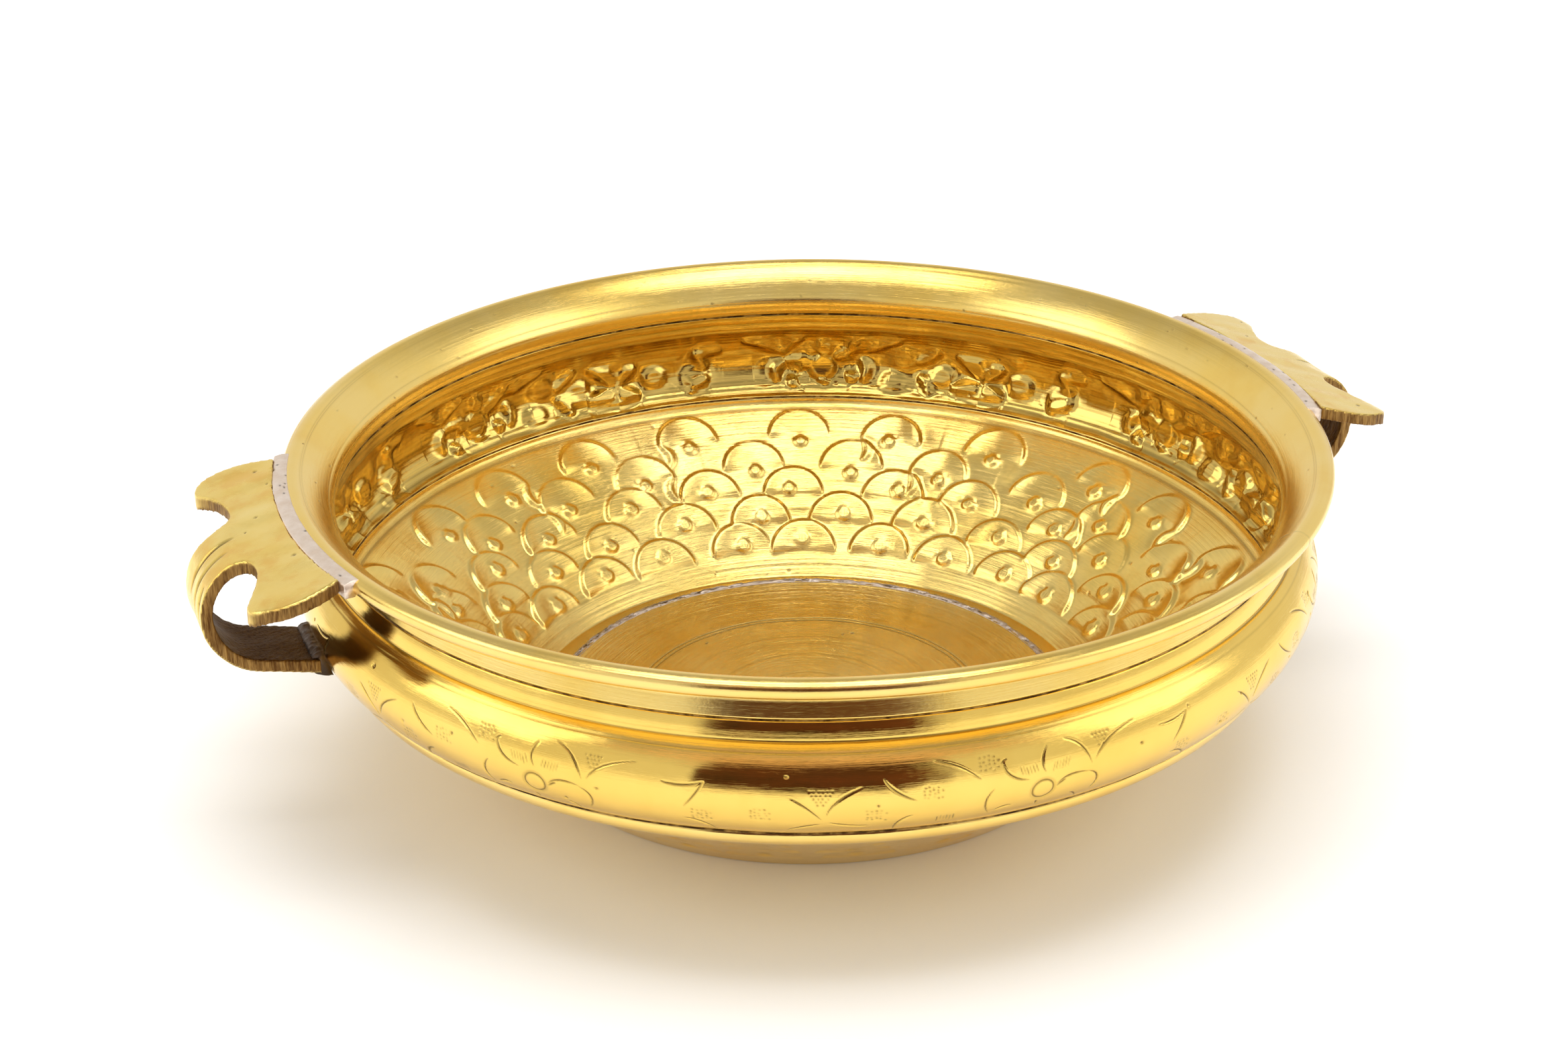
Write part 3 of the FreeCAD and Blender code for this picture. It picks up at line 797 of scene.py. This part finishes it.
def floor_piece():
    """The sloping floor of one sheet: a beaded heel, a cone punched all over, and a fold it stands on."""
    heel_top = FLOOR_HIGH.z
    joint_in, joint_out = (HEEL - 2.0, heel_top), (HEEL, heel_top - 0.4)
    cone_top = (HEEL - 3.3, 38.9)
    cone_foot = (87.1, 0.5)
    wall_edge = (HEEL - 3.5, heel_top - 2.6)
    fold_in = (85.1, 2.0)
    hole_low, hole_high = (HOLE, 2.1), (HOLE, 2.1 + SHEET)
    section = Section()
    section.run(arc(joint_in, (HEEL - 0.9, heel_top - 0.05), joint_out, 4), EDGE, -4, -3)
    section.run(arc(joint_out, (HEEL - 0.6, heel_top - 3.1), cone_top, 8), OUTSIDE, -3, 0)
    section.run(bowed(cone_top, cone_foot, -1.8, 96), OUTSIDE, 0, FLOOR_LENGTH)
    section.run(arc(cone_foot, (86.5, 0.12), (FOLD_OUTER, 0.0), 4), EDGE, 66, 67)
    section.run(straight((FOLD_OUTER, 0.0), (FOLD_INNER, 0.0), 4), EDGE, 67, 69)
    section.run(straight((FOLD_INNER, 0.0), hole_low, 8), EDGE, 69, 75)
    section.run(straight(hole_low, hole_high, 3), EDGE, 75, 77)
    section.run(bowed(hole_high, fold_in, -0.25, 16), INSIDE, 74, 65.9)
    section.run(bowed(fold_in, wall_edge, 1.8, 128), INSIDE, FLOOR_LENGTH, 0)
    section.run(arc(wall_edge, (HEEL - 2.2, heel_top - 1.5), joint_in, 5), INSIDE, 0, -4)
    relief = Relief(section.done(), 1536)
    relief.waves(INSIDE, 0.05, 4, 40, 50)
    relief.turned(INSIDE, 0.02, 1.1)
    scales(relief, INSIDE, 1, 0.95)
    relief.flatten(INSIDE, 0.85, 0.12)
    scales(relief, OUTSIDE, -1, 0.42)
    for along, width, depth, grime_and_shade in FLOOR_GROOVES:
        relief.groove(INSIDE, along, width, depth, grime_and_shade)
    relief.pits(INSIDE, 34, (0.25, 0.5), (0.25, 0.4), 0.3, (0.6, 1.0), (2, 64))
    return sweep("floor", relief)


# The base disc

DISC_FLAT = 54.0
DISC_RISE = 1.5
# Radius and depth of the turned rings, the first two of which make the double line
DISC_RINGS = ((51.4, 0.16), (53.0, 0.16), (40.2, 0.04), (28.6, 0.05), (16.4, 0.05), (66.0, 0.04))


def disc_piece():
    """The flat disc set into the floor: turned in rings, with a double line and a raised margin."""
    low, high = DISC_LOW.z, DISC_HIGH.z
    edge = DISC_HIGH.x
    thick = high - low - DISC_RISE
    flat = DISC_FLAT
    section = Section()
    section.run(straight((0.0, low + thick), (flat, low + thick), 200), INSIDE, 0, flat)
    section.run(bowed((flat, low + thick), (edge, high), -0.8, 80), INSIDE, flat, edge)
    section.run(straight((edge, high), (edge, high - thick), 3), EDGE, edge, edge + 2)
    section.run(bowed((edge, high - thick), (flat, low), 0.25, 14), OUTSIDE, edge, flat)
    section.run(straight((flat, low), (0.0, low), 28), OUTSIDE, flat, 0)
    section.run(straight((0.0, low), (0.0, low + thick), 2), EDGE, 0, 0)
    relief = Relief(section.done(), 720)
    relief.waves(INSIDE, 0.06, 2, 14, 40)
    relief.turned(INSIDE, 0.035, 1.3)
    for along, depth in DISC_RINGS:
        relief.groove(INSIDE, along, 0.36, depth, 2.4 * depth)
    away = smooth(section.along / 6.0) * smooth((edge - section.along) / 2.0)
    relief.height *= away[:, None]
    relief.pits(INSIDE, 14, (0.3, 0.6), (0.3, 0.6), 0.15, (0.4, 0.8), (12, 72))
    return sweep("base", relief)


# Seams and solder

def lumps(relief, rows, columns, level):
    """Random unevenness, run together over some rows and columns and divided by level."""
    coarse = rng.normal(0, 1, relief.height.shape)
    return sum(np.roll(coarse, (i, k), (0, 1)) for i in rows for k in columns) / level


def seam_piece(name, node, width, drop):
    """A thin brazed joint round the bowl, pitted and uneven."""
    low, high = box_mm(node)
    outer = high.x
    section = Section()
    bottom, top = low.z, high.z
    section.run(straight((outer - width, bottom + drop), (outer, bottom), 3), EDGE, 0, 1)
    section.run(straight((outer, bottom), (outer, top - drop), 2), OUTSIDE, 0, 1)
    section.run(straight((outer, top - drop), (outer - width, top), 3), EDGE, 0, 1)
    section.run(straight((outer - width, top), (outer - width, bottom + drop), 2), INSIDE, 0, 1)
    relief = Relief(section.done(), 1440)
    rough = rng.normal(0, 1, relief.columns)
    rough = sum(np.roll(rough, k) for k in range(-2, 3)) / 5
    sides = (section.side == INSIDE)[:, None]
    relief.height += sides * (0.05 + 0.10 * rough[None, :]).clip(-0.2, 0.25)
    relief.grime_and_shade += (0.35 + 0.6 * smooth(-rough[None, :] * 1.5)) * np.ones_like(relief.height)
    return sweep(name, relief)


def base_solder_piece():
    """The ragged ring of solder that holds the base disc in the floor."""
    low, high = box_mm("base_solder_ring")
    outer, middle = high.x, DISC_HIGH.x + 0.6
    section = Section()
    floor_edge, disc_edge = (outer, low.z + 1.35), (middle - 1.3, high.z - 0.65)
    under_disc, under_floor = (middle - 0.9, low.z + 0.4), (outer - 1.0, low.z)
    section.run(arc(floor_edge, (middle + 0.2, high.z), disc_edge, 12), INSIDE, 0, 3)
    section.run(straight(disc_edge, under_disc, 3), EDGE, 3, 4)
    section.run(straight(under_disc, under_floor, 3), EDGE, 4, 5)
    section.run(straight(under_floor, floor_edge, 3), EDGE, 5, 6)
    relief = Relief(section.done(), 1440)
    ragged = lumps(relief, (0, 1), range(-3, 4), 3.7)
    slow = np.cos(9 * relief.angles + 1) + np.cos(23 * relief.angles) + np.cos(41 * relief.angles + 2)
    top = (section.side == INSIDE)[:, None]
    relief.height += top * (0.16 * ragged + 0.07 * slow[None, :] - 0.22).clip(-0.55, 0.0)
    relief.grime_and_shade += 0.35 + top * 0.6 * smooth(-ragged * 0.6 - 0.2)
    return sweep("base_solder", relief)


def rim_solder_piece(name, node, centre):
    """The wiped strip of solder between the rim and a handle's root."""
    low, high = box_mm(node)
    half = math.asin(high.y / high.x)
    near, far = (RIM - 1.8, high.z - 0.30), (RIM + 2.4, high.z - 0.95)
    far_low, near_low = (RIM + 2.3, low.z + 0.3), (RIM - 0.4, low.z + 0.1)
    section = Section()
    section.run(arc(near, (RIM + 0.4, high.z - 0.30), far, 12), INSIDE, 0, 4.3)
    section.run(straight(far, far_low, 8), OUTSIDE, 4.3, 8)
    section.run(straight(far_low, near_low, 5), EDGE, 8, 11)
    section.run(straight(near_low, near, 5), EDGE, 11, 15)
    columns = 220
    relief = Relief(section.done(), columns)
    share = np.linspace(-1, 1, columns)
    relief.height += 0.03 * lumps(relief, (-1, 0, 1), range(-3, 4), 4.6) - 0.05 + 0.12 * np.abs(share) ** 8
    places = section.along[section.side == INSIDE]
    for _ in range(9):
        round_gap = (np.arange(columns) - rng.integers(6, columns - 6)) * 0.38 / rng.uniform(0.3, 0.7)
        along_gap = (section.along - rng.choice(places)) / rng.uniform(0.2, 0.4)
        pit = np.exp(-round_gap[None, :] ** 2 - along_gap[:, None] ** 2)
        relief.height -= 0.2 * pit
        relief.grime_and_shade = np.maximum(relief.grime_and_shade, pit)
    return sweep(name, relief, centre - half, centre + half)


FOOT_SHARE = 0.76


def foot_solder_piece(name, node, centre):
    """The fillet of solder where a handle's curled tongue meets the belly."""
    low, high = box_mm(node)
    outer = high.x if high.x > 0 else -low.x
    half = math.asin(high.y / outer)
    bottom, top = low.z, high.z
    belly_low, belly_high = (outer - 7.0, bottom + 0.1), (outer - 5.2, top - 0.2)
    face_low, face_high = (outer - 0.3, bottom + 2.6), (outer - 0.1, top - 2.6)
    shoulder = (outer - 3.4, top - 0.1)
    section = Section()
    section.run(arc(belly_low, (outer - 2.2, bottom + 0.6), face_low, 8), OUTSIDE, 0, 8)
    section.run(straight(face_low, face_high, 5), OUTSIDE, 8, 12)
    section.run(arc(face_high, (outer - 1.4, top - 0.7), shoulder, 6), OUTSIDE, 12, 16)
    section.run(straight(shoulder, belly_high, 3), EDGE, 16, 18)
    section.run(straight(belly_high, belly_low, 8), EDGE, 18, 27)
    relief = Relief(section.done(), 70)
    relief.height += 0.10 * lumps(relief, (-1, 0, 1), range(-2, 3), 3.9) - 0.75
    relief.grime_and_shade += 0.90
    spread = FOOT_SHARE * half
    return sweep(name, relief, centre - spread, centre + spread)


# The handles

VOXEL = 0.00055
BEND_CENTRE = (162.0, 70.9)
CURL_CENTRE = (160.0, 70.9)
PLATE_SLOPE = (0.21, 0.98)
# Place across the handle of each chiselled line, and the turn of the bend where it starts and ends
BEND_LINES = ((2.4, 12, 84), (-3.4, 22, 100), (-8.0, 58, 104))
HANDLE_SEEDS = {1: 31, -1: 32}


def worn_copy(name, node):
    """A finely divided copy of a CAD solid, with its sharp edges rubbed down."""
    piece = link(name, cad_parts[node].data.copy())
    remesh = piece.modifiers.new("remesh", "REMESH")
    remesh.mode = "VOXEL"
    remesh.voxel_size = VOXEL
    soften = piece.modifiers.new("soften", "SMOOTH")
    soften.factor = 0.5
    soften.iterations = 3
    graph = bpy.context.evaluated_depsgraph_get()
    mesh = bpy.data.meshes.new_from_object(piece.evaluated_get(graph))
    piece.modifiers.clear()
    piece.data = mesh
    mesh.name = name
    return piece


def plate_facing(x, z, nx, nz):
    """1 where a point faces out of the bent plate's outer face, -1 on its inner face, and 0 on an edge."""
    plate = z > BEND_CENTRE[1]
    centre_x = np.where(plate, BEND_CENTRE[0], CURL_CENTRE[0])
    beyond = np.maximum(x - centre_x, 0)
    reach = np.hypot(beyond, z - BEND_CENTRE[1])
    flat = plate & (x < centre_x)
    out_x = np.where(flat, PLATE_SLOPE[0], beyond / reach)
    out_z = np.where(flat, PLATE_SLOPE[1], (z - BEND_CENTRE[1]) / reach)
    return nx * out_x + nz * out_z


def handle_piece(name, node, hand):
    """A handle cut from plate, with chiselled lines on its bend, and pits. hand is 1 at +X."""
    piece = worn_copy(name, node)
    mesh = piece.data
    count = len(mesh.vertices)
    points = read(mesh.vertices, "co") / MM
    normals = read(mesh.vertex_normals, "vector")
    x, y, z = points[:, 0] * hand, points[:, 1], points[:, 2]
    facing = plate_facing(x, z, normals[:, 0] * hand, normals[:, 2])
    raw = 1 - smooth((facing - 0.25) / 0.45)

    turn = np.degrees(np.arctan2(x - BEND_CENTRE[0], z - BEND_CENTRE[1]))
    height = np.zeros(count)
    # Painted shade: the inner face of the curled tongue, low down where it faces the belly, is darkened.
    grime_and_shade = 0.8 * smooth((-facing - 0.5) / 0.3) * (z < BEND_CENTRE[1] + 8)
    for place, first, last in BEND_LINES:
        share = np.clip((turn - first) / (last - first), 0, 1)
        taper = np.sqrt(share * (1 - share)) * 2
        groove = np.exp(-((y - place) / (0.62 * np.maximum(taper, 0.2))) ** 2) * taper * (facing > 0.5)
        height -= 0.55 * groove
        # The chiselled lines are darkened: partly grime, partly painted shade.
        grime_and_shade = np.maximum(grime_and_shade, 0.9 * groove)
    draw = np.random.default_rng(HANDLE_SEEDS[hand])
    for _ in range(18):
        spot = points[draw.integers(count)]
        away = np.linalg.norm(points - spot, axis=1)
        pit = np.exp(-(away / draw.uniform(0.25, 0.6)) ** 4)
        height -= 0.22 * pit
        grime_and_shade = np.maximum(grime_and_shade, pit * draw.uniform(0.5, 0.95))
    ripple = np.zeros(count)
    for _ in range(10):
        way = draw.normal(0, 1, 3) * 0.28
        ripple += np.cos(points @ way + draw.uniform(0, TURN))
    height += 0.035 * ripple - 0.12
    ground = np.cos(2.1 * (x + 1.3 * y) + 2 * np.cos(0.7 * y)) * np.cos(0.9 * y + 0.5 * x)
    height += 0.07 * raw * ground
    points = points + normals * height[:, None]
    mesh.vertices.foreach_set("co", (points * MM).ravel())
    mesh.polygons.foreach_set("use_smooth", np.ones(len(mesh.polygons), bool))
    mesh.update()
    mark(mesh, "raw", raw)
    mark(mesh, "grime_and_shade", grime_and_shade)
    return piece


# Putting it together

rim_brass = brass("rim_brass", BRASS_PALE, BRASS, rough=0.20, line_size=0.00006, spread=0.16, grain=0.00002)
wall_brass = brass("wall_brass", BRASS, BRASS_DEEP, rough=0.09, line_size=0.00005, spread=0.08, tarnish_and_shade=0.85)
floor_brass = brass("floor_brass", BRASS_PALE, BRASS, rough=0.17, line_size=0.00010, spread=0.20)
base_brass = brass("base_brass", BRASS_PALE, BRASS_DEEP, rough=0.17, line_size=0.00022, spread=0.22)
plate_brass = handle_metal()
solder = solder_metal()
braze = braze_metal()

give(rim_piece(), rim_brass, "rim_brass", "rim_ring")
give(wall_piece(), wall_brass, "wall_brass", "wall_band")
give(floor_piece(), floor_brass, "floor_brass", "floor_dish")
give(disc_piece(), base_brass, "base_brass", "base_disc")
give(seam_piece("rim_braze", "rim_braze_seam", SHEET, 0.0), braze, "braze", "rim_braze_seam")
give(seam_piece("heel_braze", "heel_braze_seam", SHEET, 0.4), braze, "braze", "heel_braze_seam")
give(base_solder_piece(), solder, "solder", "base_solder_ring")
for label, hand, centre in (("right", 1, 0.0), ("left", -1, math.pi)):
    node = "handle_" + label
    give(handle_piece(node + "_plate", node, hand), plate_brass, "handle_brass", node)
    strip, foot = node + "_rim_solder", node + "_foot_solder"
    give(rim_solder_piece(node + "_rim_strip", strip, centre), solder, "solder", strip)
    give(foot_solder_piece(node + "_foot_fillet", foot, centre), solder, "solder", foot)
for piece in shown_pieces():
    outward(piece)


# Stage, light and camera

# Sine of the rise up to which the room is pale, and from which it is darker
ROOM_WALL = 0.50
ROOM_CEILING = 0.75
ROOM_PALE = (0.85, 0.84, 0.82, 1)
ROOM_DARK = (0.48, 0.47, 0.45, 1)


def studio():
    """A pale paper floor, and a pale room that is darker overhead."""
    bpy.ops.mesh.primitive_plane_add(size=8.0, location=(0, 0, 0))
    floor = bpy.context.object
    floor.name = "studio_floor"
    paper = Nodes("paper")
    tint = paper.noise(paper.where, 3, 2)
    paper.join(paper.ramp(tint, (0.3, 0.90), (0.7, 0.93)), paper.shader.inputs["Base Color"])
    paper.shader.inputs["Roughness"].default_value = 0.9
    paper.shader.inputs["Specular IOR Level"].default_value = 0.1
    floor.data.materials.append(paper.material)

    world = bpy.data.worlds.new("room")
    bpy.context.scene.world = world
    world.use_nodes = True
    tree = world.node_tree
    way = tree.nodes.new("ShaderNodeTexCoord")
    split = tree.nodes.new("ShaderNodeSeparateXYZ")
    ramp = tree.nodes.new("ShaderNodeValToRGB")
    tree.links.new(way.outputs["Generated"], split.inputs[0])
    tree.links.new(split.outputs[2], ramp.inputs["Fac"])
    elements = ramp.color_ramp.elements
    for element, place in zip(elements, (0.0, ROOM_WALL)):
        element.position = place
        element.color = ROOM_PALE
    elements.new(ROOM_CEILING).color = ROOM_DARK
    background = tree.nodes["Background"]
    tree.links.new(ramp.outputs["Color"], background.inputs["Color"])
    background.inputs["Strength"].default_value = 1.0
    bpy.context.scene.view_settings.view_transform = "Standard"


VIEW_TURN = math.radians(-22.0)
VIEW_RISE = math.radians(23.703)
VIEW_DISTANCE = 0.75
VIEW_TARGET = 0.0888
PAN, TILT, ROLL = math.radians(-0.516), math.radians(1.745), math.radians(0.297)
LENS = 59.455


def area_light(name, size, power, azimuth, rise, distance):
    """A soft light aimed at the bowl. azimuth is from the camera's side and rise from level, in degrees."""
    lamp = bpy.data.lights.new(name, "AREA")
    lamp.shape = "RECTANGLE"
    lamp.size, lamp.size_y = size
    lamp.energy = power
    lit = bpy.data.objects.new(name, lamp)
    bpy.context.scene.collection.objects.link(lit)
    level = math.radians(rise)
    away = from_bowl(azimuth, math.cos(level), math.sin(level))
    lit.location = away * distance
    lit.rotation_euler = away.to_track_quat("Z", "Y").to_euler()
    return lit


def from_bowl(azimuth, out, up):
    """A place out from the bowl's axis and up from the floor. azimuth is measured from the camera's side."""
    turn = VIEW_TURN + math.radians(azimuth - 90)
    return Vector((out * math.cos(turn), out * math.sin(turn), up))


def card(name, place, width, height, lean, dark, light, glow):
    """A matt card that only reflections see. lean tips its top towards the bowl, in degrees."""
    bpy.ops.mesh.primitive_plane_add(size=1.0)
    sheet = bpy.context.object
    sheet.name = name
    sheet.scale = (width, height, 1)
    sheet.location = place
    sheet.rotation_euler = (math.pi / 2 + math.radians(lean), 0, VIEW_TURN)
    cloth = Nodes(name)
    shade = cloth.ramp(cloth.noise(cloth.where, 4, 3), (0.38, dark), (0.64, light))
    cloth.join(shade, cloth.shader.inputs["Base Color"])
    cloth.join(shade, cloth.shader.inputs["Emission Color"])
    cloth.shader.inputs["Emission Strength"].default_value = glow
    cloth.shader.inputs["Roughness"].default_value = 0.9
    sheet.data.materials.append(cloth.material)
    sheet.visible_camera = False
    sheet.visible_shadow = False
    sheet.visible_diffuse = False


def camera():
    """The camera at the height, distance and turn the bowl is seen from."""
    data = bpy.data.cameras.new("camera")
    data.lens = LENS
    data.sensor_width = 36.0
    data.clip_start = 0.01
    seen = bpy.data.objects.new("camera", data)
    bpy.context.scene.collection.objects.link(seen)
    turn = Matrix.Rotation(VIEW_TURN, 4, "Z")
    away = Vector((0, -math.cos(VIEW_RISE), math.sin(VIEW_RISE))) * VIEW_DISTANCE
    place = Matrix.Translation(turn @ away + Vector((0, 0, VIEW_TARGET)))
    aim = turn @ Matrix.Rotation(math.pi / 2 - VIEW_RISE, 4, "X")
    nudge = Matrix.Rotation(-PAN, 4, "Y") @ Matrix.Rotation(-TILT, 4, "X") @ Matrix.Rotation(-ROLL, 4, "Z")
    seen.matrix_world = place @ aim @ nudge
    bpy.context.scene.camera = seen


studio()
card("dark_card", from_bowl(2, 0.48, 0.19), width=0.37, height=0.38, lean=0,
     dark=(0.012, 0.004, 0.002), light=(0.09, 0.022, 0.010), glow=0.5)
card("brown_card", from_bowl(2, 1.10, 1.05), width=1.15, height=1.7, lean=52,
     dark=(0.40, 0.26, 0.21), light=(0.55, 0.38, 0.32), glow=0.8)
area_light("overhead", (1.6, 0.6), power=12, azimuth=0, rise=85, distance=2.0)
area_light("left", (1.6, 1.6), power=12, azimuth=-75, rise=34, distance=2.6)
area_light("right", (1.6, 1.6), power=10, azimuth=80, rise=34, distance=2.6)
fill = area_light("fill", (3.0, 3.0), power=50, azimuth=180, rise=80, distance=3.0)
fill.visible_glossy = False
camera()
